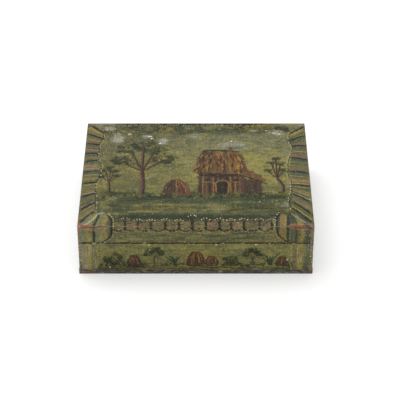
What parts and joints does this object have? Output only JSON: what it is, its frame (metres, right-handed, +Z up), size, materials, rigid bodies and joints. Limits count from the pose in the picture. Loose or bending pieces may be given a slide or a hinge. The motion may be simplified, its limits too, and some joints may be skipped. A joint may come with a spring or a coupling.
{
  "type": "jewelry box",
  "caption": "Rectangular painted wooden jewelry box: nailed board walls, a flat flush lid that swings up on back hinges, and one open compartment lined with paper.",
  "frame": {"origin": "middle of the underside of the bottom board", "axes": "+X to the right along the long front, +Y to the hinged back, +Z up"},
  "size_m": [0.2812, 0.2212, 0.071],
  "materials": {
    "painted_wood": "old hand-painted gesso in greens and ochres under worn satin varnish",
    "bottom_wood": "bare aged softwood, dark painted edge",
    "iron": "dark wrought iron with light rust",
    "lining_paper": "aged matte laid paper"
  },
  "bodies": {
    "base": {"bottom_board": "bottom_wood", "base_front_wall": "painted_wood", "base_back_wall": "painted_wood", "base_left_wall": "painted_wood", "base_right_wall": "painted_wood", "base_corner_nails": "iron", "bottom_board_nails": "iron", "base_floor_paper": "lining_paper", "base_front_paper": "lining_paper", "base_back_paper": "lining_paper", "base_left_paper": "lining_paper", "base_right_paper": "lining_paper", "left_hinge_base_leaf": "iron", "right_hinge_base_leaf": "iron", "left_hinge_pin": "iron", "right_hinge_pin": "iron", "base_leaf_nails": "iron"},
    "lid": {"lid_panel": "painted_wood", "lid_front_rail": "painted_wood", "lid_back_rail": "painted_wood", "lid_left_rail": "painted_wood", "lid_right_rail": "painted_wood", "lid_corner_nails": "iron", "lid_panel_nails": "iron", "lid_ceiling_paper": "lining_paper", "lid_front_paper": "lining_paper", "lid_back_paper": "lining_paper", "lid_left_paper": "lining_paper", "lid_right_paper": "lining_paper", "left_hinge_lid_leaf": "iron", "right_hinge_lid_leaf": "iron", "lid_leaf_nails": "iron"}
  },
  "joints": [
    {"name": "lid_hinge", "type": "hinge", "parent": "base", "child": "lid", "pos_m": [0, 0.107, 0.0462], "axis": [-1, 0, 0], "range_deg": [0, 100]}
  ]
}
